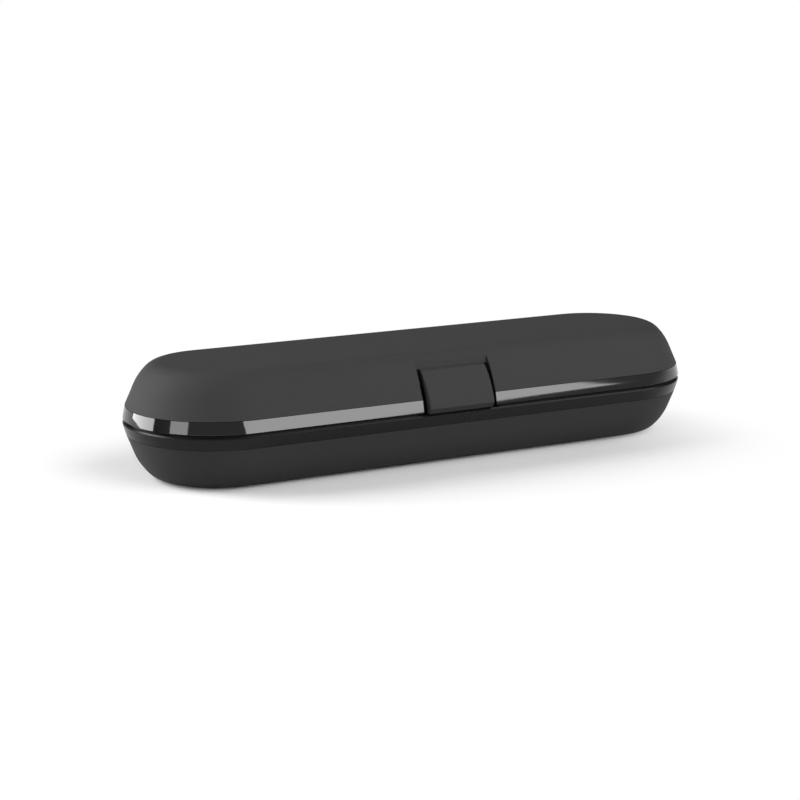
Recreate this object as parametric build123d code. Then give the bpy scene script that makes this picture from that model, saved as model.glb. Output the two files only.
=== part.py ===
from build123d import *

import math
import os
from dataclasses import dataclass

# Millimetres. The origin is the centre of the underside, +Z up, +X along the case,
# and -Y is the front, where the latch is. Sections are drawn as distance out from
# the middle against rise above the parting line, then carried round the case.

# Overall form
case_length = 215.0
case_width = 64.0
base_height = 19.5
lid_height = 19.5
parting_gap = 0.4
shoulder_radius = 20.0
crown_radius = 7.2
shoulder_end = 45.0
cover_wall = 2.0
skin_left = 0.5
overshoot = 1.0

# The two bands beside the parting line
lid_band_height = 5.0
lid_band_setback = 0.86
lid_lean = 23.7
base_band_height = 4.35
base_band_setback = 1.0
base_lean = 21.2
band_wall = 2.2
band_line = 0.12
band_bulge = 0.055
lip_height = 1.5
lip_out = 0.9
lip_in = 1.5
lip_clearance = 0.1
lid_bevel_height = 0.8
lid_bevel_depth = 0.6
base_bevel = 0.45
tongue_wall = 0.8
tongue_height = 1.3
tongue_clearance = 0.25
tongue_bevel = 0.2

# Hinges at the rear
hinge_distance = 90.0
hinge_behind_rim = 0.9
knuckle_radius = 2.0
knuckle_clearance = 0.25
middle_knuckle_length = 12.0
outer_knuckle_length = 7.0
knuckle_gap = 0.3
hinge_pin_radius = 0.8
running_clearance = 0.05
tight_clearance = 0.02
leaf_height = 3.2
pin_bevel = 0.2

# Latch button, its pocket and its hook
notch_width = 28.8
latch_width = 25.4
latch_margin = 5.8
latch_rise = 10.0
latch_pin_radius = 0.9
barrel_radius = 1.9
barrel_gap = 7.6
barrel_end = 0.3
barrel_back_clearance = 2.0
pad_thickness = 2.3
pad_middle_proud = 1.4
pad_low_proud = 1.9
pad_top_clearance = 0.25
pad_top_wall = 1.4
pad_top_depth = 0.9
pad_top_slope = 0.45
pad_middle = 8.1
pad_low = 2.1
pad_lip = 1.1
pad_rise = 0.35
pad_edge_round = 0.5
pad_low_round = 0.3
pocket_wall = 1.4
pocket_margin = 8.0
pocket_top = 14.4
scoop_top = 17.1
scoop_margin = 7.0
pad_tip_room = 0.65
hook_width = 15.0
hook_margin = 2.8
hook_thickness = 1.2
hook_depth = 2.6
hook_shelf = 2.2
hook_brace = 1.2
hook_root = 0.5
tooth_height = 1.1
tooth_length = 0.75
tooth_bevel = 0.5
tooth_slope = 0.2
tooth_clearance = 0.15
hook_back_clearance = 1.4
hook_pocket_slope = 2.0
hook_slot_margin = 1.0
hook_slot_depth = 3.4
hook_side_clearance = 1.0
housing_clearance = 0.4

# Latch spring
wire_radius = 0.25
spring_turns = 2
spring_pitch = 0.98
spring_clearance = 0.16
spring_leg = 3.3
spring_rest_height = 1.0

# Catch plate and its screws
plate_thickness = 0.8
plate_width = 17.0
plate_top = 0.7
plate_drop = 8.6
lip_reach = 1.1
catch_screw_spacing = 11.0
catch_screw_drop = 5.6
catch_screw_radius = 0.8
catch_head_radius = 1.5
catch_head_height = 0.8
catch_head_side = 0.25
catch_slot_depth = 0.32
catch_screw_length = 3.2
catch_block_thickness = 2.7

# Inner tray
deck_drop = 1.2
deck_thickness = 1.6
deck_clearance = 0.2
tray_wall = 1.4
handle_from_middle = 8.5
handle_radius = 15.2
handle_neck_radius = 8.0
handle_left_margin = 16.5
handle_right_margin = 15.5
handle_neck_length = 18.0
handle_taper_length = 22.0
handle_bottom_round = 9.0
handle_tip_round = 3.0
head_from_middle = 14.8
head_radius = 6.5
head_inner_end = 4.0
head_margin = 23.5
head_end_round = 3.0
tray_rib_thickness = 1.6
tray_rib_spacing = 104.0

# Screws and bosses
screw_radius = 0.8
screw_head_radius = 1.7
screw_head_height = 0.9
screw_slot_length = 2.4
screw_slot_width = 0.45
screw_slot_depth = 0.4
tray_screw_length = 6.5
liner_screw_length = 5.0
tray_boss_wall = 1.8
liner_boss_wall = 0.9
boss_clearance = 0.1
tray_screw_end_margin = 8.9
tray_screw_rear = 5.0
tray_screw_side_margin = 16.5
tray_screw_front = 15.0
liner_screw_end_margin = 5.9
liner_screw_side_margin = 45.5
liner_screw_margin = 4.3

# Lid liner
liner_wall = 1.0
liner_margin = 7.1
liner_end_margin = 9.6
liner_taper = 1.6
liner_ceiling = 16.2
liner_round = 5.4
liner_clearance = 0.3

# Soft inserts
cushion_thickness = 1.0
cushion_length = 16.0
cushion_from_end = 33.0
cushion_from_taper = 30.0
cushion_drop = 3.0
cradle_length = 9.0
cradle_wall = 1.8
cradle_drop = 1.6
cradle_from_end = 14.0
lid_pad_length = 30.0
lid_pad_width = 16.0
lid_pad_thickness = 1.3
lid_pad_spacing = 92.0
lid_pad_round = 4.0
seat_clearance = 0.02

end_radius = case_width / 2
half_length = case_length / 2
half_straight = half_length - end_radius
half_gap = parting_gap / 2
hinge_y = end_radius + hinge_behind_rim
band_inside = end_radius - band_wall
tongue_in = band_inside + tongue_clearance
tongue_out = tongue_in + tongue_wall
groove_out = tongue_out + tongue_clearance
deck_out = band_inside - deck_clearance
deck_under = deck_drop + deck_thickness
latch_out = end_radius - latch_margin
pocket_back = end_radius - pocket_margin
scoop_floor = end_radius - scoop_margin
hook_out = end_radius - hook_margin
hook_slot_out = end_radius - hook_slot_margin
housing_width = notch_width + 2 * pocket_wall
housing_in = pocket_back - pocket_wall
hook_in = hook_out - hook_thickness
tooth_in = hook_in - tooth_length
hook_pocket_back = tooth_in - hook_back_clearance
pocket_low = latch_rise - barrel_radius - barrel_back_clearance
plate_lip_out = tooth_in - tooth_clearance
plate_out = plate_lip_out - lip_reach
plate_in = plate_out - plate_thickness
coil_radius = latch_pin_radius + spring_clearance + wire_radius
spring_rest_out = latch_out - coil_radius - wire_radius - seat_clearance
handle_left = handle_left_margin - half_length
handle_right = half_length - handle_right_margin
handle_neck_start = handle_right - handle_neck_length
handle_body_end = handle_neck_start - handle_taper_length
head_outer_end = half_length - head_margin
liner_radius = end_radius - liner_margin
liner_half_straight = half_length - liner_end_margin - liner_radius


@dataclass
class Half:
    """The outer form of one half of the case. Rises are away from the parting line."""

    up: int
    height: float
    band: float
    band_setback: float
    lean: float

    def level(self, rise):
        return base_height + self.up * rise

    def side(self, rise, wall=0.0):
        """How far out the sloping side is, set in by a wall."""
        lean = math.radians(self.lean)
        at_band = end_radius - self.band_setback - wall / math.cos(lean)
        return at_band - (rise - self.band) * math.tan(lean)

    def centres(self):
        """The middles of the shoulder's arc and of the crown's arc, which meet smoothly."""
        lean, roll = math.radians(self.lean), math.radians(shoulder_end)
        reach = shoulder_radius - crown_radius
        crown_rise = self.height - crown_radius
        shoulder_rise = crown_rise - reach * math.sin(roll)
        line_end = shoulder_rise + shoulder_radius * math.sin(lean)
        shoulder_out = self.side(line_end) - shoulder_radius * math.cos(lean)
        return (shoulder_out, shoulder_rise), (shoulder_out + reach * math.cos(roll), crown_rise)

    def shoulder(self, rise, wall=0.0):
        """How far out the shoulder is at a rise."""
        (out, middle), _ = self.centres()
        return out + math.sqrt((shoulder_radius - wall) ** 2 - (rise - middle) ** 2)

    def outline(self, start, wall=0.0):
        """The section's edges from a rise on the side up to the middle of the top."""
        shoulder, crown = self.centres()
        turns = [self.lean, (self.lean + shoulder_end) / 2, shoulder_end]
        low = [around(shoulder, shoulder_radius - wall, turn) for turn in turns]
        turns = [shoulder_end, (shoulder_end + 90) / 2, 90]
        high = [around(crown, crown_radius - wall, turn) for turn in turns]
        return [
            Line((self.side(start, wall), start), low[0]),
            ThreePointArc(*low),
            ThreePointArc(*high),
            Line(high[2], (0, self.height - wall)),
        ]

    def solid(self, start, wall=0.0):
        """The whole of this half, set in by a wall, from a rise to the top."""
        edges = self.outline(start, wall)
        edges.append(Line((0, self.height - wall), (0, start)))
        edges.append(Line((0, start), (self.side(start, wall), start)))
        return self.carry(make_face(edges))

    def carry(self, profile, straight=2 * half_straight):
        """A section carried round the case's plan, on this side of the parting line."""
        return self.place(carry_round(profile, straight))

    def place(self, part):
        """What is drawn above height 0, set on this side of the parting line."""
        turned = part if self.up > 0 else mirror(part, Plane.XY)
        return Pos(0, 0, base_height) * turned


lid = Half(1, lid_height, lid_band_height, lid_band_setback, lid_lean)
base = Half(-1, base_height, base_band_height, base_band_setback, base_lean)


def around(centre, radius, turn):
    turn = math.radians(turn)
    return (centre[0] + radius * math.cos(turn), centre[1] + radius * math.sin(turn))


def polygon(*points):
    return make_face(Polyline(*points, close=True))


def rectangle(outs, rises):
    return polygon((outs[0], rises[0]), (outs[1], rises[0]), (outs[1], rises[1]), (outs[0], rises[1]))


def carry_round(profile, straight):
    """A half section carried round a plan of two straights and two half circles."""
    profile = Plane.XZ * profile
    end = Pos(straight / 2, 0, 0) * Rot(0, 0, -90) * revolve(profile, Axis.Z, 180)
    run = Pos(-straight / 2, 0, 0) * Rot(0, 0, -90) * extrude(profile, straight, dir=(0, 1, 0))
    half = end + run
    return half + Rot(0, 0, 180) * half


def across_front(profile, width, at=0.0):
    """A section of the front, out against rise, given a width along the case."""
    run = extrude(Plane.XZ * profile, width / 2, both=True)
    return Pos(at, 0, base_height) * Rot(0, 0, -90) * run


def rod_along_x(radius, length, x, y, z):
    return Pos(x, y, z) * Rot(0, 90, 0) * Cylinder(radius, length)


def upright(radius, low, high, x, y):
    return Pos(x, y, (low + high) / 2) * Cylinder(radius, high - low)


def left_and_right(*places):
    return [(side * x, y) for x, y in places for side in (-1, 1)]


def tray_screws():
    rear = (half_length - tray_screw_end_margin, tray_screw_rear)
    front = (half_length - tray_screw_side_margin, -tray_screw_front)
    return left_and_right(rear, front)


def liner_screws():
    side, out = half_length - liner_screw_side_margin, end_radius - liner_screw_margin
    end = (half_length - liner_screw_end_margin, 0)
    return left_and_right(end, (side, -out), (side, out))


# Covers


def cover_shell(half):
    """A thin shell whose foot is rebated inside for the band's lip."""
    start = half.band + band_line
    top = Line((0, half.height), (0, half.height - cover_wall))
    foot = Line((half.side(start), start), (half.side(start, cover_wall), start))
    shell = half.carry(make_face([*half.outline(start), *half.outline(start, cover_wall), top, foot]))
    rebate_wall = lip_out - lip_clearance
    rebate_top = half.band + lip_height + lip_clearance
    rebate = polygon(
        (half.side(half.band, rebate_wall), half.band),
        (half.side(rebate_top, rebate_wall), rebate_top),
        (half.side(rebate_top, cover_wall + overshoot), rebate_top),
        (half.side(half.band, cover_wall + overshoot), half.band),
    )
    return shell - half.carry(rebate)


def pocket_section():
    """The latch's pocket and the finger scoop above it, open to the front and below."""
    beyond = end_radius + pad_low_proud + overshoot
    return polygon(
        (lid.shoulder(scoop_top), scoop_top),
        (scoop_floor, pocket_top),
        (pocket_back, pocket_top - pocket_wall / 2),
        (pocket_back, pocket_low),
        (hook_pocket_back, pocket_low - hook_pocket_slope),
        (hook_pocket_back, -overshoot),
        (beyond, -overshoot),
        (beyond, scoop_top),
    )


def scoop_out(rise):
    """How far out the scoop's floor is, which slopes from the shoulder to the pocket's top."""
    share = (rise - pocket_top) / (scoop_top - pocket_top)
    return scoop_floor + (lid.shoulder(scoop_top) - scoop_floor) * share


def pocket_housing():
    """The walls round the pocket, which hang inside the cover."""
    foot = half_gap + housing_clearance
    behind_band = lid.side(lid_band_height, lip_in) - lip_clearance
    back = hook_pocket_back - pocket_wall
    section = polygon(
        (back, foot),
        (back, pocket_low - hook_pocket_slope - pocket_wall),
        (housing_in, pocket_low - pocket_wall),
        (housing_in, pocket_top + pocket_wall),
        (end_radius, pocket_top + pocket_wall),
        (end_radius, lid_band_height + lip_height + lip_clearance),
        (behind_band - lip_height, lid_band_height + lip_height + lip_clearance),
        (behind_band - lip_height, lid_band_height),
        (behind_band, lid_band_height - lip_height),
        (behind_band, foot),
    )
    return across_front(section, housing_width) & lid.solid(0, skin_left)


def lid_cover():
    cover = cover_shell(lid) + pocket_housing()
    inside = lid.solid(0, skin_left)
    for x, y in liner_screws():
        foot = lid.level(deck_under + boss_clearance)
        boss = upright(screw_radius + liner_boss_wall, foot, lid.level(pocket_top), x, y)
        cover += boss & inside
        cover -= upright(screw_radius, lid.level(0), lid.level(deck_drop + liner_screw_length), x, y)
    cover -= across_front(pocket_section(), notch_width)
    rest_top = latch_rise - barrel_radius - spring_clearance
    rest = rectangle((pocket_back - skin_left, spring_rest_out), (rest_top - spring_rest_height, rest_top))
    cover += across_front(rest, barrel_gap)
    bore = latch_pin_radius + tight_clearance
    pin_hole = rod_along_x(bore, housing_width + 2 * overshoot, 0, -latch_out, lid.level(latch_rise))
    return cover - pin_hole


def base_cover():
    cover = cover_shell(base)
    inside = base.solid(0, skin_left)
    top = base.level(deck_under + boss_clearance)
    for x, y in tray_screws():
        boss = upright(screw_radius + tray_boss_wall, 0, top, x, y)
        cover += boss & inside
        cover -= upright(screw_radius, base.level(deck_drop + tray_screw_length), top + overshoot, x, y)
    return cover


# Bands


def band_ring(half, bevel_depth, bevel_height):
    """A band: its outside face bows out a little, and its lip stands inside the cover."""
    lip_top = half.band + lip_height
    low = Vector(end_radius, half_gap + bevel_height)
    high = Vector(end_radius - half.band_setback, half.band)
    way = (high - low).normalized()
    middle = (low + high) / 2 + Vector(way.Y, -way.X) * band_bulge
    corners = [
        high,
        (half.side(half.band, lip_out), half.band),
        (half.side(lip_top, lip_out), lip_top),
        (half.side(lip_top, lip_in), lip_top),
        (half.side(half.band, lip_in), half.band),
        (band_inside, half.band - lip_height),
        (band_inside, half_gap),
        (end_radius - bevel_depth, half_gap),
        low,
    ]
    sides = [Line(one, two) for one, two in zip(corners, corners[1:])]
    return half.carry(make_face([ThreePointArc(low, middle, high), *sides]))


def hinge_length():
    return middle_knuckle_length + 2 * outer_knuckle_length + 2 * knuckle_gap


def hinge_scallops():
    """The room that both bands leave round the knuckles."""
    radius = knuckle_radius + knuckle_clearance
    length = hinge_length() + 2 * knuckle_gap
    rods = [rod_along_x(radius, length, side * hinge_distance / 2, hinge_y, base_height) for side in (-1, 1)]
    return rods[0] + rods[1]


def knuckle(half, length, x, bore):
    """One knuckle, with the leaf that carries it on its band's face."""
    leaf = polygon(
        (groove_out, half_gap),
        (hinge_y, half_gap),
        (hinge_y, knuckle_radius),
        (end_radius, knuckle_radius),
        (groove_out, leaf_height),
    )
    part = Rot(0, 0, 90) * extrude(Plane.XZ * leaf, length / 2, both=True)
    part += rod_along_x(knuckle_radius, length, 0, hinge_y, 0)
    part -= rod_along_x(bore, length + overshoot, 0, hinge_y, 0)
    return half.place(Pos(x, 0, 0) * part)


def lid_gloss_band():
    band = band_ring(lid, lid_bevel_depth, lid_bevel_height)
    groove_top = tongue_height + tongue_clearance
    band -= lid.carry(rectangle((band_inside - overshoot, groove_out), (0, groove_top)))
    band -= hinge_scallops()
    bore = hinge_pin_radius + running_clearance
    for side in (-1, 1):
        band += knuckle(lid, middle_knuckle_length, side * hinge_distance / 2, bore)
    boss_room = screw_radius + liner_boss_wall + boss_clearance
    for x, y in liner_screws():
        band -= upright(boss_room, lid.level(0), lid.level(lid_height), x, y)
    notch = rectangle((0, end_radius + overshoot), (-overshoot, lid_height))
    return band - across_front(notch, notch_width)


def base_rim_band():
    band = band_ring(base, base_bevel, base_bevel)
    tongue = polygon(
        (tongue_in, half_gap * 2),
        (tongue_in, tongue_bevel - tongue_height),
        (tongue_in + tongue_bevel, -tongue_height),
        (tongue_out - tongue_bevel, -tongue_height),
        (tongue_out, tongue_bevel - tongue_height),
        (tongue_out, half_gap * 2),
    )
    band += base.carry(tongue)
    band -= hinge_scallops()
    reach = (middle_knuckle_length + outer_knuckle_length) / 2 + knuckle_gap
    bore = hinge_pin_radius + tight_clearance
    for side in (-1, 1):
        for end in (-1, 1):
            band += knuckle(base, outer_knuckle_length, side * hinge_distance / 2 + end * reach, bore)
    over_seam = rectangle((0, end_radius), (-half_gap, tongue_height + overshoot))
    band -= across_front(over_seam, housing_width + 2 * housing_clearance)
    slot = rectangle((0, hook_slot_out), (-hook_slot_depth, overshoot))
    return band - across_front(slot, hook_width + 2 * hook_side_clearance)


def hinge_pin(side):
    x = side * hinge_distance / 2
    pin = rod_along_x(hinge_pin_radius, hinge_length(), x, hinge_y, base_height)
    return chamfer(pin.edges().filter_by(GeomType.CIRCLE), pin_bevel)


# Inner tray and what it holds


def ease(corners, radius, spare):
    """Rounds a hollow's corners. Grown by a wall, its underside gets chamfers that touch the round."""
    if spare:
        return chamfer(corners, (radius + spare) * (2 - math.sqrt(2)))
    return fillet(corners, radius)


def handle_form(spare=0.0):
    """The lying handle's shape, turned about its own axis, grown by a wall."""
    left, right = handle_left - spare, handle_right + spare
    body, neck = handle_radius + spare, handle_neck_radius + spare
    section = polygon(
        (left, 0),
        (left, body),
        (handle_body_end, body),
        (handle_neck_start, neck),
        (right, neck),
        (right, 0),
    )
    bottom = section.vertices().sort_by_distance((left, body))[0]
    section = ease(bottom, handle_bottom_round, spare)
    tip = section.vertices().sort_by_distance((right, neck))[0]
    section = ease(tip, handle_tip_round, spare)
    return Pos(0, handle_from_middle, base_height) * revolve(section, Axis.X)


def head_form(side, spare=0.0):
    """A brush head's slot, with rounded ends, grown by a wall."""
    length = head_outer_end - head_inner_end + 2 * spare
    form = rod_along_x(head_radius + spare, length, 0, 0, 0)
    form = ease(form.edges().filter_by(GeomType.CIRCLE), head_end_round, spare)
    middle = side * (head_inner_end + head_outer_end) / 2
    return Pos(middle, -head_from_middle, base_height) * form


def countersunk_screw(x, y, top, up, length):
    """A self-tapping screw whose head is flush, pointing away from the parting line."""
    section = polygon(
        (0, 0),
        (screw_head_radius, 0),
        (screw_radius, screw_head_height),
        (screw_radius, length - screw_radius),
        (0, length),
    )
    screw = revolve(Plane.XZ * section, Axis.Z)
    screw -= Box(screw_slot_length, screw_slot_width, 2 * screw_slot_depth)
    screw -= Box(screw_slot_width, screw_slot_length, 2 * screw_slot_depth)
    turned = screw if up > 0 else mirror(screw, Plane.XY)
    return Pos(x, y, top) * turned


def screw_seat(x, y, top, up):
    """The countersink and clearance hole under one screw."""
    clearance = running_clearance
    through = deck_thickness + overshoot
    section = polygon(
        (0, -overshoot),
        (screw_head_radius + clearance, -overshoot),
        (screw_head_radius + clearance, 0),
        (screw_radius + clearance, screw_head_height),
        (screw_radius + clearance, through),
        (0, through),
    )
    seat = revolve(Plane.XZ * section, Axis.Z)
    turned = seat if up > 0 else mirror(seat, Plane.XY)
    return Pos(x, y, top) * turned


def base_tray():
    deck = base.carry(rectangle((0, deck_out), (deck_drop, deck_under)))
    below = base.solid(deck_drop, cover_wall + seat_clearance)
    below &= base.carry(rectangle((0, deck_out), (deck_drop, base_height)))
    shapes = handle_form(tray_wall)
    for side in (-1, 1):
        shapes += head_form(side, tray_wall)
        rib = Pos(side * tray_rib_spacing / 2, 0, base_height)
        shapes += rib * Box(tray_rib_thickness, case_width, 2 * base_height)
    block = rectangle(
        (plate_in - catch_block_thickness, plate_in),
        (-plate_drop, -deck_drop),
    )
    shapes += across_front(block, plate_width)
    tray = deck + (shapes & below)
    tray -= handle_form()
    for side in (-1, 1):
        tray -= head_form(side)
    hook_notch = rectangle((plate_in, end_radius), (-plate_drop - overshoot, 0))
    tray -= across_front(hook_notch, plate_width + 2 * hook_side_clearance)
    for x, y in tray_screws():
        tray -= screw_seat(x, y, base.level(deck_drop), -1)
    for x in (-catch_screw_spacing / 2, catch_screw_spacing / 2):
        hole = Rot(90, 0, 0) * Cylinder(catch_screw_radius, 2 * catch_screw_length)
        tray -= Pos(x, -plate_out, base.level(catch_screw_drop)) * hole
    return tray


def catch_plate():
    """A bent strip: it stands against the tray and its top lip faces the hook."""
    section = polygon(
        (plate_in, -plate_drop),
        (plate_out, -plate_drop),
        (plate_out, -plate_top - plate_thickness),
        (plate_lip_out, -plate_top - plate_thickness),
        (plate_lip_out, -plate_top),
        (plate_in, -plate_top),
    )
    bend = section.vertices().sort_by_distance((plate_in, -plate_top))[0]
    section = fillet(bend, plate_thickness)
    plate = across_front(section, plate_width - 2 * seat_clearance)
    for x in (-catch_screw_spacing / 2, catch_screw_spacing / 2):
        hole = Rot(90, 0, 0) * Cylinder(catch_screw_radius + running_clearance, 4 * plate_thickness)
        plate -= Pos(x, -plate_out, base.level(catch_screw_drop)) * hole
    return plate


def catch_screws():
    """Two small pan-head screws, each turned about its own axis, pointing to the rear."""
    top, tip = (0, -catch_head_height), (0, catch_screw_length)
    rim = (catch_head_radius, -catch_head_side)
    shank_end = (catch_screw_radius, catch_screw_length - catch_screw_radius)
    dome = TangentArc(top, rim, tangent=(1, 0))
    rest = Polyline(rim, (catch_head_radius, 0), (catch_screw_radius, 0), shank_end, tip, top)
    screw = revolve(Plane.XZ * make_face([dome, *rest.edges()]), Axis.Z)
    slot = Box(2 * catch_head_radius, screw_slot_width, 2 * catch_slot_depth)
    screw -= Pos(0, 0, -catch_head_height) * slot
    level = base.level(catch_screw_drop)
    spots = [Pos(side * catch_screw_spacing / 2, -plate_out - seat_clearance, level) for side in (-1, 1)]
    return Compound([(spot * Rot(-90, 0, 0) * screw).solid() for spot in spots])


def handle_cushion(x):
    """A soft saddle lying in the handle's trough."""
    ring = rod_along_x(handle_radius - seat_clearance, cushion_length, 0, 0, 0)
    ring -= rod_along_x(handle_radius - cushion_thickness, cushion_length + overshoot, 0, 0, 0)
    below = Pos(0, 0, -handle_radius - cushion_drop) * Box(
        cushion_length, 2 * handle_radius, 2 * handle_radius
    )
    return Pos(x, handle_from_middle, base_height) * (ring & below)


def brush_head_cradle(side):
    """A soft U in a brush head's slot."""
    cradle = rod_along_x(head_radius - seat_clearance, cradle_length, 0, 0, 0)
    cradle -= rod_along_x(head_radius - cradle_wall, cradle_length + overshoot, 0, 0, 0)
    below = Pos(0, 0, -head_radius - cradle_drop) * Box(cradle_length, 2 * head_radius, 2 * head_radius)
    x = side * (head_outer_end - cradle_from_end)
    return Pos(x, -head_from_middle, base_height) * (cradle & below)


# Lid liner and pads


def liner_dome(spare=0.0):
    """The liner's hollow, grown by a wall, as one solid."""
    top = liner_ceiling + spare
    section = polygon(
        (0, 0),
        (liner_radius + spare, 0),
        (liner_radius - liner_taper + spare, top),
        (0, top),
    )
    corner = section.vertices().sort_by_distance((liner_radius + spare, top))[0]
    return lid.carry(fillet(corner, liner_round + spare), 2 * liner_half_straight)


def lid_liner():
    def housing_room(spare):
        top = pocket_top + pocket_wall + spare
        reach = rectangle((housing_in - spare, case_width), (-overshoot, top))
        return across_front(reach, housing_width + 2 * spare)

    above_deck = lid.carry(rectangle((0, case_width), (deck_drop, lid_height)))
    liner = liner_dome(liner_wall) & above_deck
    liner += lid.carry(rectangle((0, deck_out), (deck_drop, deck_under)))
    liner -= housing_room(liner_clearance)
    liner -= liner_dome() - housing_room(liner_clearance + liner_wall)
    for x, y in liner_screws():
        liner -= screw_seat(x, y, lid.level(deck_drop), 1)
    return liner


def lid_pad(side):
    """A soft pad stuck under the liner's ceiling, over the handle."""
    outline = RectangleRounded(lid_pad_length, lid_pad_width, lid_pad_round)
    pad = extrude(outline, lid_pad_thickness)
    low = pad.faces().sort_by(Axis.Z)[0]
    pad = chamfer(low.edges(), lid_pad_thickness / 3)
    rise = lid.level(liner_ceiling - seat_clearance - lid_pad_thickness)
    return Pos(side * lid_pad_spacing / 2, handle_from_middle, rise) * pad


# Latch


def pad_section():
    """The button's pad: it follows the lid at its top, bulges and is undercut at its foot."""
    top = pocket_top - pad_top_clearance
    crest = top + pad_top_slope
    outer = [
        (lid.shoulder(top), top),
        (lid.side(pad_middle) + pad_middle_proud, pad_middle),
        (lid_band_out(pad_low) + pad_low_proud, pad_low),
    ]
    inner = [
        (outer[2][0] - pad_thickness, pad_low),
        (outer[1][0] - pad_thickness, pad_middle),
        (outer[0][0] - pad_top_wall, top - pad_top_depth),
    ]
    low = Polyline(outer[2], (outer[2][0] - pad_lip, pad_rise), (inner[0][0], pad_rise), inner[0])
    high = Polyline(inner[2], (scoop_out(crest) + pad_tip_room, crest), outer[0])
    section = make_face([ThreePointArc(*outer), *low.edges(), ThreePointArc(*inner), *high.edges()])
    for corner, radius in ((outer[0], pad_edge_round), (outer[2], pad_low_round)):
        section = fillet(section.vertices().sort_by_distance(corner)[0], radius)
    return section


def latch_button():
    button = across_front(pad_section(), latch_width)
    front = button.faces().sort_by(SortBy.AREA)[-1]
    button = fillet(front.edges().filter_by(GeomType.CIRCLE), pad_edge_round)
    root = lid_band_out(pad_low) + pad_low_proud - pad_thickness + hook_root
    hook = polygon(
        (root, pad_rise),
        (root, hook_shelf),
        (hook_in, hook_shelf + hook_brace),
        (hook_in, tooth_height - hook_depth),
        (tooth_in, tooth_height - hook_depth - tooth_slope),
        (tooth_in, tooth_bevel - hook_depth),
        (tooth_in + tooth_bevel, -hook_depth),
        (hook_out, -hook_depth),
        (hook_out, pad_rise),
    )
    button += across_front(hook, hook_width)
    level = lid.level(latch_rise)
    button += rod_along_x(barrel_radius, latch_width - 2 * barrel_end, 0, -latch_out, level)
    button -= rod_along_x(barrel_radius + seat_clearance, barrel_gap, 0, -latch_out, level)
    bore = latch_pin_radius + running_clearance
    return button - rod_along_x(bore, latch_width + overshoot, 0, -latch_out, level)


def lid_band_out(rise):
    return end_radius - lid_band_setback * rise / lid_band_height


def latch_pin():
    pin = rod_along_x(latch_pin_radius, housing_width, 0, -latch_out, lid.level(latch_rise))
    return chamfer(pin.edges().filter_by(GeomType.CIRCLE), pin_bevel)


def coil_point(turn):
    """A point of the spring's wire and the way that it runs there, after some turns."""
    angle = math.pi * (1 + 2 * turn)
    x = (turn - spring_turns / 2) * spring_pitch
    point = Vector(x, coil_radius * math.cos(angle), coil_radius * math.sin(angle))
    way = Vector(spring_pitch / (2 * math.pi), -coil_radius * math.sin(angle), coil_radius * math.cos(angle))
    return point, way.normalized()


def biarc(start, way_in, end, way_out):
    """Two arcs that meet smoothly, from one point and direction to another."""
    chord, ways = end - start, way_in + way_out
    square = 2 * (1 - way_in.dot(way_out))
    along = chord.dot(ways)
    reach = (math.sqrt(along**2 + square * chord.dot(chord)) - along) / square
    middle = (start + end + (way_in - way_out) * reach) * 0.5
    first = Edge.make_tangent_arc(start, way_in, middle)
    return [first, Edge.make_tangent_arc(middle, first % 1, end)]


def latch_spring():
    """A torsion spring of whole turns on the latch's pin, with a leg up and a leg down."""
    points = [coil_point(half_turn / 2) for half_turn in range(2 * spring_turns + 1)]
    (start, way_in), (end, way_out) = points[0], points[-1]
    wire = [Edge.make_line(start - way_in * spring_leg, start)]
    for (one, way_one), (two, way_two) in zip(points, points[1:]):
        wire += biarc(one, way_one, two, way_two)
    wire.append(Edge.make_line(end, end + way_out * spring_leg))
    path = Wire(wire)
    spring = sweep(Plane(path @ 0, z_dir=path % 0) * Circle(wire_radius), path=path)
    print("spring's least gap to itself", round(spring_gap(), 3))
    return Pos(0, -latch_out, lid.level(latch_rise)) * Rot(0, 0, 180) * spring


def spring_gap():
    """The least space between the wire and itself, measured on points half a turn or more apart."""
    steps = 40
    points = [coil_point(step / steps)[0] for step in range(spring_turns * steps + 1)]
    gaps = [(b - a).length for i, a in enumerate(points) for b in points[i + steps // 2 :]]
    return min(gaps) - 2 * wire_radius


def screws(places, top, up, length):
    return Compound([countersunk_screw(x, y, top, up, length).solid() for x, y in places])


parts = {
    "base_cover": base_cover(),
    "base_rim_band": base_rim_band(),
    "base_tray": base_tray(),
    "base_tray_screws": screws(tray_screws(), base.level(deck_drop), -1, tray_screw_length),
    "catch_plate": catch_plate(),
    "catch_screws": catch_screws(),
    "handle_cushion_left": handle_cushion(handle_left + cushion_from_end),
    "handle_cushion_right": handle_cushion(handle_body_end - cushion_from_taper),
    "brush_head_cradle_left": brush_head_cradle(-1),
    "brush_head_cradle_right": brush_head_cradle(1),
    "hinge_pin_left": hinge_pin(-1),
    "hinge_pin_right": hinge_pin(1),
    "lid_cover": lid_cover(),
    "lid_gloss_band": lid_gloss_band(),
    "lid_liner": lid_liner(),
    "lid_liner_screws": screws(liner_screws(), lid.level(deck_drop), 1, liner_screw_length),
    "lid_pad_left": lid_pad(-1),
    "lid_pad_right": lid_pad(1),
    "latch_button": latch_button(),
    "latch_pin": latch_pin(),
    "latch_spring": latch_spring(),
}

os.makedirs("parts", exist_ok=True)
for name, shape in parts.items():
    export_step(shape, f"parts/{name}.step")
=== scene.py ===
import math

import bmesh
import bpy
from mathutils import Matrix, Vector


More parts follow.
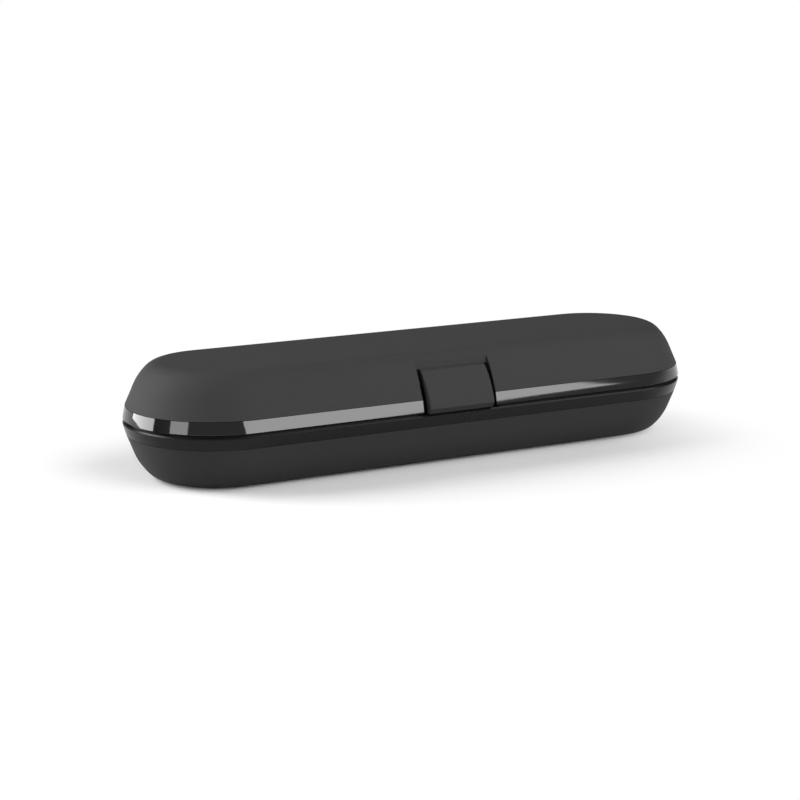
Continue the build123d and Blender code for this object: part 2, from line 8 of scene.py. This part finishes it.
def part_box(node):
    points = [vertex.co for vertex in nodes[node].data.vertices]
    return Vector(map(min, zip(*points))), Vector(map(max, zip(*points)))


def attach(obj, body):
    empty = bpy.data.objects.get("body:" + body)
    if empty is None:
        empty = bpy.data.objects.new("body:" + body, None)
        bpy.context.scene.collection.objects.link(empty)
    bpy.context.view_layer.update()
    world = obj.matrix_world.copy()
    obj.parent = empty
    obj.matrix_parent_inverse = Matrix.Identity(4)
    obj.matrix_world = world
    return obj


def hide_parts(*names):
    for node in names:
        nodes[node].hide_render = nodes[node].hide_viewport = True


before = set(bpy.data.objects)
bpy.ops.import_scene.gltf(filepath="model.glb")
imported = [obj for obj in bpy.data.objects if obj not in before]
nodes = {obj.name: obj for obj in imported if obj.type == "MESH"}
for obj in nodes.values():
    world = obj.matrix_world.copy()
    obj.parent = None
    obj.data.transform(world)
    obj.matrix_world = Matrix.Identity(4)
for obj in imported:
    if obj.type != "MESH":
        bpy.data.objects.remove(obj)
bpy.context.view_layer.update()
mm = 0.001


# Shader maths: an expression on values adds its Math nodes


class Value:
    def __init__(self, paint, socket):
        self.paint = paint
        self.socket = socket

    def __add__(self, other):
        return self.paint.maths("ADD", self, other)

    def __sub__(self, other):
        return self.paint.maths("SUBTRACT", self, other)

    def __rsub__(self, other):
        return self.paint.maths("SUBTRACT", other, self)

    def __mul__(self, other):
        return self.paint.maths("MULTIPLY", self, other)

    def __pow__(self, other):
        return self.paint.maths("POWER", self, other)

    __radd__ = __add__
    __rmul__ = __mul__


class Paint:
    def __init__(self, owner):
        owner.use_nodes = True
        self.owner = owner
        self.tree = owner.node_tree
        self.tree.nodes.clear()

    def node(self, kind, settings, sockets, output=0):
        made = self.tree.nodes.new(kind)
        for name, setting in settings.items():
            setattr(made, name, setting)
        for name, value in sockets.items():
            if isinstance(value, Value):
                self.tree.links.new(value.socket, made.inputs[name])
            else:
                made.inputs[name].default_value = value
        return Value(self, made.outputs[output]) if made.outputs else made

    def maths(self, operation, one, two):
        return self.node("ShaderNodeMath", {"operation": operation}, {0: one, 1: two})

    def place(self):
        return self.node("ShaderNodeTexCoord", {}, {}, "Object")

    def axes(self, vector, names):
        return [self.node("ShaderNodeSeparateXYZ", {}, {"Vector": vector}, name) for name in names]

    def noise(self, scale, detail=2.0, stretch=None):
        where = self.place()
        if stretch:
            where = self.node("ShaderNodeMapping", {}, {"Vector": where, "Scale": stretch})
        sockets = {"Vector": where, "Scale": scale, "Detail": detail}
        return self.node("ShaderNodeTexNoise", {}, sockets, "Fac")

    def grain(self, scale):
        sockets = {"Vector": self.place(), "Scale": scale}
        return self.node("ShaderNodeTexVoronoi", {}, sockets, "Distance")

    def spread(self, value, low, high):
        # what runs from 0 to 1 made to run from low to high
        return self.node("ShaderNodeMapRange", {}, {"Value": value, "To Min": low, "To Max": high})

    def ease(self, value, low, high):
        # 0 below the low value and 1 above the high one, with a smooth run between them
        settings = {"interpolation_type": "SMOOTHSTEP"}
        sockets = {"Value": value, "From Min": low, "From Max": high}
        return self.node("ShaderNodeMapRange", settings, sockets)

    def past(self, value, low, high):
        # how far a value lies outside the span from low to high
        off = self.maths("ABSOLUTE", value - (low + high) / 2, 0) - (high - low) / 2
        return self.maths("MAXIMUM", off, 0)

    def between(self, share, one, two):
        sockets = {"Factor": share, 6: (*one, 1), 7: (*two, 1)}  # 6 and 7 are its colours
        return self.node("ShaderNodeMix", {"data_type": "RGBA"}, sockets, 2)

    def seen(self, share=1.0):
        # 1 for the camera, and the share for gloss and glass
        kinds = ("Is Camera Ray", "Is Glossy Ray", "Is Transmission Ray")
        camera, glossy, through = [self.node("ShaderNodeLightPath", {}, {}, kind) for kind in kinds]
        settings = {"operation": "ADD", "use_clamp": True}
        return self.node("ShaderNodeMath", settings, {0: camera, 1: (glossy + through) * share})

    def bump(self, height, depth):
        return self.node("ShaderNodeBump", {}, {"Height": height, "Distance": depth, "Strength": 1.0})

    def finish(self, sockets):
        shader = self.node("ShaderNodeBsdfPrincipled", {}, sockets)
        self.node("ShaderNodeOutputMaterial", {}, {"Surface": shader})
        return self.owner


def newPaint(name):
    return Paint(bpy.data.materials.new(name))


def cover(node, material):
    piece = nodes[node]
    piece.data.materials.clear()
    piece.data.materials.append(material)


# Outer plastics

mattePlastic = {
    "tone": (0.0385, 0.0385, 0.0385),
    "paleTone": (0.0425, 0.0425, 0.0425),
    "grainScale": 2600.0,
    "fineScale": 1560.0,
    "fineHeight": 0.6,
    "grainDepth": 0.02 * mm,
    "cloudScale": 60.0,
    "roughLow": 0.64,
    "roughHigh": 0.70,
    "gloss": 0.12,
}


def makeMattePlastic():
    paint = newPaint("matte_black_plastic")
    clouds = paint.noise(mattePlastic["cloudScale"], detail=3.0)
    sparks = paint.grain(mattePlastic["grainScale"])
    sparks += mattePlastic["fineHeight"] * paint.noise(mattePlastic["fineScale"])
    return paint.finish(
        {
            "Base Color": paint.between(clouds, mattePlastic["tone"], mattePlastic["paleTone"]),
            "Roughness": paint.spread(clouds, mattePlastic["roughLow"], mattePlastic["roughHigh"]),
            "Specular IOR Level": mattePlastic["gloss"],
            "Normal": paint.bump(sparks, mattePlastic["grainDepth"]),
        }
    )


glossPlastic = {
    "tone": (0.0095, 0.0095, 0.0095),
    "rippleScale": 45.0,
    "rippleDepth": 0.0006 * mm,
    "smearScale": 90.0,
    "smearStretch": (1.0, 1.0, 3.0),
    "roughLow": 0.035,
    "roughHigh": 0.075,
}


def makeGlossPlastic():
    paint = newPaint("gloss_black_plastic")
    smears = paint.noise(glossPlastic["smearScale"], detail=4.0, stretch=glossPlastic["smearStretch"])
    ripple = paint.noise(glossPlastic["rippleScale"], detail=1.0)
    return paint.finish(
        {
            "Base Color": (*glossPlastic["tone"], 1),
            "Roughness": paint.spread(smears, glossPlastic["roughLow"], glossPlastic["roughHigh"]),
            "Normal": paint.bump(ripple, glossPlastic["rippleDepth"]),
        }
    )


satinPlastic = {
    "tone": (0.0085, 0.0085, 0.0085),
    "grainScale": 1800.0,
    "grainDepth": 0.002 * mm,
    "cloudScale": 80.0,
    "roughLow": 0.25,
    "roughHigh": 0.29,
    "gloss": 0.17,
}


def makeSatinPlastic():
    paint = newPaint("satin_black_plastic")
    clouds = paint.noise(satinPlastic["cloudScale"], detail=3.0)
    return paint.finish(
        {
            "Base Color": (*satinPlastic["tone"], 1),
            "Roughness": paint.spread(clouds, satinPlastic["roughLow"], satinPlastic["roughHigh"]),
            "Specular IOR Level": satinPlastic["gloss"],
            "Normal": paint.bump(paint.noise(satinPlastic["grainScale"]), satinPlastic["grainDepth"]),
        }
    )


matte = makeMattePlastic()
for node in ("lid_cover", "base_cover", "latch_button"):
    cover(node, matte)
cover("lid_gloss_band", makeGlossPlastic())
cover("base_rim_band", makeSatinPlastic())
print("outer plastics done")


# Inside plastics

insidePlastic = {
    "trayTone": (0.045, 0.045, 0.046),
    "linerTone": (0.050, 0.050, 0.051),
    "paleBy": 1.25,
    "cloudScale": 70.0,
    "grainScale": 1500.0,
    "grainDepth": 0.02 * mm,
    "roughLow": 0.45,
    "roughHigh": 0.60,
}


def makeInsidePlastic(name, tone):
    paint = newPaint(name)
    clouds = paint.noise(insidePlastic["cloudScale"], detail=3.0)
    pale = [channel * insidePlastic["paleBy"] for channel in tone]
    return paint.finish(
        {
            "Base Color": paint.between(clouds, tone, pale),
            "Roughness": paint.spread(clouds, insidePlastic["roughLow"], insidePlastic["roughHigh"]),
            "Normal": paint.bump(paint.grain(insidePlastic["grainScale"]), insidePlastic["grainDepth"]),
        }
    )


cover("base_tray", makeInsidePlastic("tray_plastic", insidePlastic["trayTone"]))
cover("lid_liner", makeInsidePlastic("liner_plastic", insidePlastic["linerTone"]))
print("inside plastics done")


# Metals

steels = {
    "pin_steel": {"tone": (0.62, 0.62, 0.63), "stretch": (0.05, 1.0, 1.0), "low": 0.16, "high": 0.28},
    "screw_steel": {"tone": (0.40, 0.40, 0.41), "stretch": (1.0, 1.0, 0.1), "low": 0.25, "high": 0.40},
    "plate_steel": {"tone": (0.58, 0.58, 0.59), "stretch": (0.04, 1.0, 1.0), "low": 0.22, "high": 0.38},
    "spring_steel": {"tone": (0.45, 0.45, 0.46), "stretch": (1.0, 0.3, 0.3), "low": 0.20, "high": 0.34},
    "dark_steel": {"tone": (0.07, 0.07, 0.07), "stretch": (0.05, 1.0, 1.0), "low": 0.30, "high": 0.42},
}
steelGrain = {"scale": 2400.0, "depth": 0.003 * mm, "darkBy": 0.8}


def makeSteel(name, tone, stretch, low, high):
    paint = newPaint(name)
    lines = paint.noise(steelGrain["scale"], detail=3.0, stretch=stretch)
    dark = [channel * steelGrain["darkBy"] for channel in tone]
    return paint.finish(
        {
            "Base Color": paint.between(lines, dark, tone),
            "Metallic": 1.0,
            "Roughness": paint.spread(lines, low, high),
            "Normal": paint.bump(lines, steelGrain["depth"]),
        }
    )


steel = {name: makeSteel(name, **look) for name, look in steels.items()}
metalPieces = {
    "pin_steel": ("hinge_pin_left", "hinge_pin_right"),
    "dark_steel": ("latch_pin",),
    "screw_steel": ("base_tray_screws", "lid_liner_screws", "catch_screws"),
    "plate_steel": ("catch_plate",),
    "spring_steel": ("latch_spring",),
}
for name, pieces in metalPieces.items():
    for node in pieces:
        cover(node, steel[name])
print("metals done")


# Soft inserts

softRubber = {
    "tone": (0.085, 0.085, 0.087),
    "paleBy": 1.2,
    "cloudScale": 90.0,
    "grainScale": 1300.0,
    "grainDepth": 0.02 * mm,
    "roughLow": 0.70,
    "roughHigh": 0.85,
}


def makeSoftRubber():
    paint = newPaint("soft_rubber")
    clouds = paint.noise(softRubber["cloudScale"])
    pale = [channel * softRubber["paleBy"] for channel in softRubber["tone"]]
    return paint.finish(
        {
            "Base Color": paint.between(clouds, softRubber["tone"], pale),
            "Roughness": paint.spread(clouds, softRubber["roughLow"], softRubber["roughHigh"]),
            "Normal": paint.bump(paint.grain(softRubber["grainScale"]), softRubber["grainDepth"]),
        }
    )


rubber = makeSoftRubber()


def roundedDepth(x, y, half, corner):
    # how far a point is inside a rectangle with round corners
    qx, qy = abs(x) - half[0] + corner, abs(y) - half[1] + corner
    return corner - math.hypot(max(qx, 0), max(qy, 0)) - min(max(qx, qy), 0)


def rowReach(y, half, corner):
    # half the length of the row that lies this far from the middle
    over = max(abs(y) - half[1] + corner, 0)
    return half[0] - corner + math.sqrt(max(corner**2 - over**2, 0))


def padHeight(x, y, look):
    # a crown, a round edge and moulded channels across the length
    depth = min(max(roundedDepth(x, y, look["half"], look["corner"]) / look["edge"], 0), 1)
    rise = math.sqrt(1 - (1 - depth) ** 2)
    crown = 1 - look["crown"] * ((x / look["half"][0]) ** 2 + (y / look["half"][1]) ** 2) / 2
    apart = min(abs(x - place) for place in look["channels"])
    channel = look["channelDepth"] * math.exp(-((apart / look["channelWidth"]) ** 2)) * depth
    return look["thickness"] * max((rise * crown) * (1 - channel), look["skirt"])


def spacing(count, crowding=0.45):
    # from -1 to 1, closer together near the ends
    steps = [2 * i / count - 1 for i in range(count + 1)]
    return [(1 - crowding) * step + crowding * math.sin(step * math.pi / 2) for step in steps]


def padRows(mesh, look, wrap, raised):
    rows = []
    for v in spacing(look["rows"]):
        y = v * look["half"][1]
        reach = rowReach(y, look["half"], look["corner"])
        row = []
        for u in spacing(look["columns"]):
            height = padHeight(u * reach, y, look) if raised else 0
            row.append(mesh.verts.new(wrap(u * reach, y, height)))
        rows.append(row)
    return rows


def fillRows(mesh, rows, flip):
    for one, two in zip(rows, rows[1:]):
        for i in range(len(one) - 1):
            corners = (one[i], one[i + 1], two[i + 1], two[i])
            mesh.faces.new(corners[::-1] if flip else corners)


def rimOf(rows):
    return rows[0] + [row[-1] for row in rows[1:-1]] + rows[-1][::-1] + [row[0] for row in rows[-2:0:-1]]


def makePad(name, look, wrap):
    # a raised face and a flat back of the same outline, joined round the rim
    mesh = bmesh.new()
    face, back = [padRows(mesh, look, wrap, raised) for raised in (True, False)]
    fillRows(mesh, face, False)
    fillRows(mesh, back, True)
    faceRim, backRim = rimOf(face), rimOf(back)
    for i in range(len(faceRim)):
        after = (i + 1) % len(faceRim)
        mesh.faces.new((faceRim[after], faceRim[i], backRim[i], backRim[after]))
    bmesh.ops.recalc_face_normals(mesh, faces=mesh.faces)
    data = bpy.data.meshes.new(name)
    mesh.to_mesh(data)
    mesh.free()
    for polygon in data.polygons:
        polygon.use_smooth = True
    piece = bpy.data.objects.new(name, data)
    bpy.context.scene.collection.objects.link(piece)
    data.materials.append(rubber)
    smooth = piece.modifiers.new("smooth", "SUBSURF")
    smooth.levels = smooth.render_levels = 1
    return piece


def spanOf(node):
    low, high = (Vector(corner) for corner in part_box(node))
    return low, high, (low + high) / 2


def evenly(count, pitch):
    return [(i - (count - 1) / 2) * pitch for i in range(count)]


saddleLook = {
    "thickness": 0.92 * mm,
    "corner": 2.2 * mm,
    "edge": 0.8 * mm,
    "crown": 0.10,
    "channels": evenly(5, 2.6 * mm),
    "channelDepth": 0.55,
    "channelWidth": 0.45 * mm,
    "skirt": 0.12,
    "columns": 60,
    "rows": 30,
}
cradleLook = {
    "thickness": 1.7 * mm,
    "corner": 1.6 * mm,
    "edge": 0.9 * mm,
    "crown": 0.12,
    "channels": evenly(2, 3.0 * mm),
    "channelDepth": 0.35,
    "channelWidth": 0.5 * mm,
    "skirt": 0.1,
    "columns": 36,
    "rows": 24,
}
lidPadLook = {
    "corner": 4.0 * mm,
    "edge": 1.2 * mm,
    "crown": 0.22,
    "channels": evenly(2, 10.0 * mm),
    "channelDepth": 0.6,
    "channelWidth": 0.6 * mm,
    "skirt": 0.15,
    "columns": 60,
    "rows": 28,
}
softFit = {"trim": 0.05 * mm, "seam": 19.5 * mm}


def addTroughPad(node, look):
    # lies in a round trough whose axis runs along the case, at the height of the seam
    low, high, middle = spanOf(node)
    radius = softFit["seam"] - low.z - softFit["trim"]
    reach = math.acos((softFit["seam"] - high.z) / radius) * radius - softFit["trim"]
    look = {**look, "half": ((high.x - low.x) / 2 - softFit["trim"], reach)}

    def wrap(x, y, height):
        turn, out = y / radius, radius - height
        return (middle.x + x, middle.y + out * math.sin(turn), softFit["seam"] - out * math.cos(turn))

    return makePad("soft_" + node, look, wrap)


def addCeilingPad(node, look):
    # hangs from the flat ceiling of the lid
    low, high, middle = spanOf(node)
    half = ((high.x - low.x) / 2 - softFit["trim"], (high.y - low.y) / 2 - softFit["trim"])
    look = {**look, "half": half, "thickness": high.z - low.z - softFit["trim"]}

    def wrap(x, y, height):
        return (middle.x + x, middle.y + y, high.z - height)

    return makePad("soft_" + node, look, wrap)


for side in ("left", "right"):
    saddle = addTroughPad("handle_cushion_" + side, saddleLook)
    cradle = addTroughPad("brush_head_cradle_" + side, cradleLook)
    ceiling = addCeilingPad("lid_pad_" + side, lidPadLook)
    for piece, body in ((saddle, "base"), (cradle, "base"), (ceiling, "lid")):
        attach(piece, body)
        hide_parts(piece.name.removeprefix("soft_"))
print("soft inserts done")


# Camera

shot = {
    "target": (-4.7 * mm, 2.1 * mm, 17.4 * mm),
    "azimuth": 29.10,
    "elevation": 12.17,
    "distance": 694.9 * mm,
    "focalPixels": 1965.4,
    "imageSide": 800,
    "sensor": 36.0,
}


def direction(azimuth, elevation):
    # towards this bearing: 0 is the front, and it grows to the left of the case
    turn, rise = math.radians(azimuth), math.radians(elevation)
    return Vector((-math.sin(turn) * math.cos(rise), -math.cos(turn) * math.cos(rise), math.sin(rise)))


def aim(thing, target, back):
    thing.location = target + back
    thing.rotation_mode = "QUATERNION"
    thing.rotation_quaternion = (-back).to_track_quat("-Z", "Y")


lens = bpy.data.cameras.new("shot")
lens.sensor_width = shot["sensor"]
lens.lens = shot["focalPixels"] / shot["imageSide"] * shot["sensor"]
camera = bpy.data.objects.new("shot", lens)
bpy.context.scene.collection.objects.link(camera)
aim(camera, Vector(shot["target"]), direction(shot["azimuth"], shot["elevation"]) * shot["distance"])
bpy.context.scene.camera = camera


# Light: large soft boxes, where a brightness of 1 would look white in a mirror.
# The gloss band mirrors the key's lower edge, which is why that one is tilted.

caseMiddle = Vector((0, 0, 20 * mm))
softBoxes = {
    "top": {"azimuth": -42, "elevation": 40, "distance": 1.3, "size": (1.6, 1.0), "brightness": 2.45},
    "key": {
        "azimuth": -21,
        "elevation": 0,
        "distance": 1.2,
        "size": (0.670, 0.36),
        "brightness": 6.9,
        "roll": 15.5,
        "shift": (-0.033, 0.248),
    },
    "left": {
        "azimuth": 125,
        "elevation": 3,
        "distance": 1.3,
        "size": (0.92, 1.9),
        "brightness": 8.8,
        "shift": (0, 0.50),
    },
    "leftStrip": {
        "azimuth": 72.5,
        "elevation": 8,
        "distance": 1.3,
        "size": (0.48, 0.5),
        "brightness": 5.1,
    },
}


def addSoftBox(name, azimuth, elevation, distance, size, brightness, roll=0, shift=(0, 0)):
    box = bpy.data.lights.new(name, "AREA")
    box.shape = "RECTANGLE"
    box.size, box.size_y = size
    box.energy = brightness * math.pi * size[0] * size[1]
    lamp = bpy.data.objects.new(name, box)
    bpy.context.scene.collection.objects.link(lamp)
    aim(lamp, caseMiddle, direction(azimuth, elevation) * distance)
    lamp.location += lamp.rotation_quaternion @ Vector((*shift, 0))
    lamp.rotation_quaternion @= Matrix.Rotation(math.radians(roll), 3, "Z").to_quaternion()


for name, look in softBoxes.items():
    addSoftBox(name, **look)


# Floor and surroundings: the camera and gloss see white paper, and the light itself meets a dim room

surroundings = {
    "floorSide": 60.0,
    "floorDrop": 0.1 * mm,
    "floorTone": 0.90,
    "floorBounce": 0.16,
    "footAlong": (-50 * mm, 12 * mm),  # the shadow fades by distance from this rectangle
    "footAcross": (-15 * mm, 55 * mm),
    "fade": (0.045, 0.125),
    "fill": (0.35, 0.03),  # the room's own light, from the front and from the back
    "fillTurn": (-0.6, 0.4),
    "paperBearing": (0.766, 0.643, 0.0),  # past the floor, gloss sees white only low on this side
    "paperSides": (0.05, 0.95),
    "paperTop": (0.02, 0.14),
}


def makeFloor():
    side = surroundings["floorSide"] / 2
    mesh = bpy.data.meshes.new("floor")
    corners = [(-side, -side, 0), (side, -side, 0), (side, side, 0), (-side, side, 0)]
    mesh.from_pydata(corners, [], [(0, 1, 2, 3)])
    floor = bpy.data.objects.new("floor", mesh)
    bpy.context.scene.collection.objects.link(floor)
    floor.location.z = -surroundings["floorDrop"]
    paint = newPaint("floor_paper")
    seen = paint.seen()
    tone = paint.spread(seen, surroundings["floorBounce"], surroundings["floorTone"])
    paper = paint.node("ShaderNodeBsdfDiffuse", {}, {"Color": tone})
    along, across = paint.axes(paint.place(), "XY")
    pastEnds = paint.past(along, *surroundings["footAlong"])
    pastSides = paint.past(across, *surroundings["footAcross"])
    away = (pastEnds * pastEnds + pastSides * pastSides) ** 0.5
    fade = paint.ease(away, *surroundings["fade"])
    white = paint.node("ShaderNodeEmission", {}, {"Color": (1, 1, 1, 1), "Strength": 1.0})
    both = paint.node("ShaderNodeMixShader", {}, {0: fade * seen, 1: paper, 2: white})
    paint.node("ShaderNodeOutputMaterial", {}, {"Surface": both})
    mesh.materials.append(paint.owner)


def makeWorld():
    world = bpy.data.worlds.new("studio")
    paint = Paint(world)
    way = paint.node("ShaderNodeTexCoord", {}, {}, "Generated")
    depth, rise = paint.axes(way, "YZ")
    settings, sockets = {"operation": "DOT_PRODUCT"}, {0: way, 1: surroundings["paperBearing"]}
    facing = paint.node("ShaderNodeVectorMath", settings, sockets, "Value")
    behind = paint.ease(facing, *surroundings["paperSides"])
    low = 1 - paint.ease(rise, *surroundings["paperTop"])
    fill = paint.spread(paint.ease(depth, *surroundings["fillTurn"]), *surroundings["fill"])
    level = paint.spread(paint.seen(behind * low), fill, 1.0)
    air = paint.node("ShaderNodeBackground", {}, {"Color": (1, 1, 1, 1), "Strength": level})
    paint.node("ShaderNodeOutputWorld", {}, {"Surface": air})
    bpy.context.scene.world = world


makeFloor()
makeWorld()
bpy.context.scene.view_settings.view_transform = "Standard"
print("camera, light and floor done")
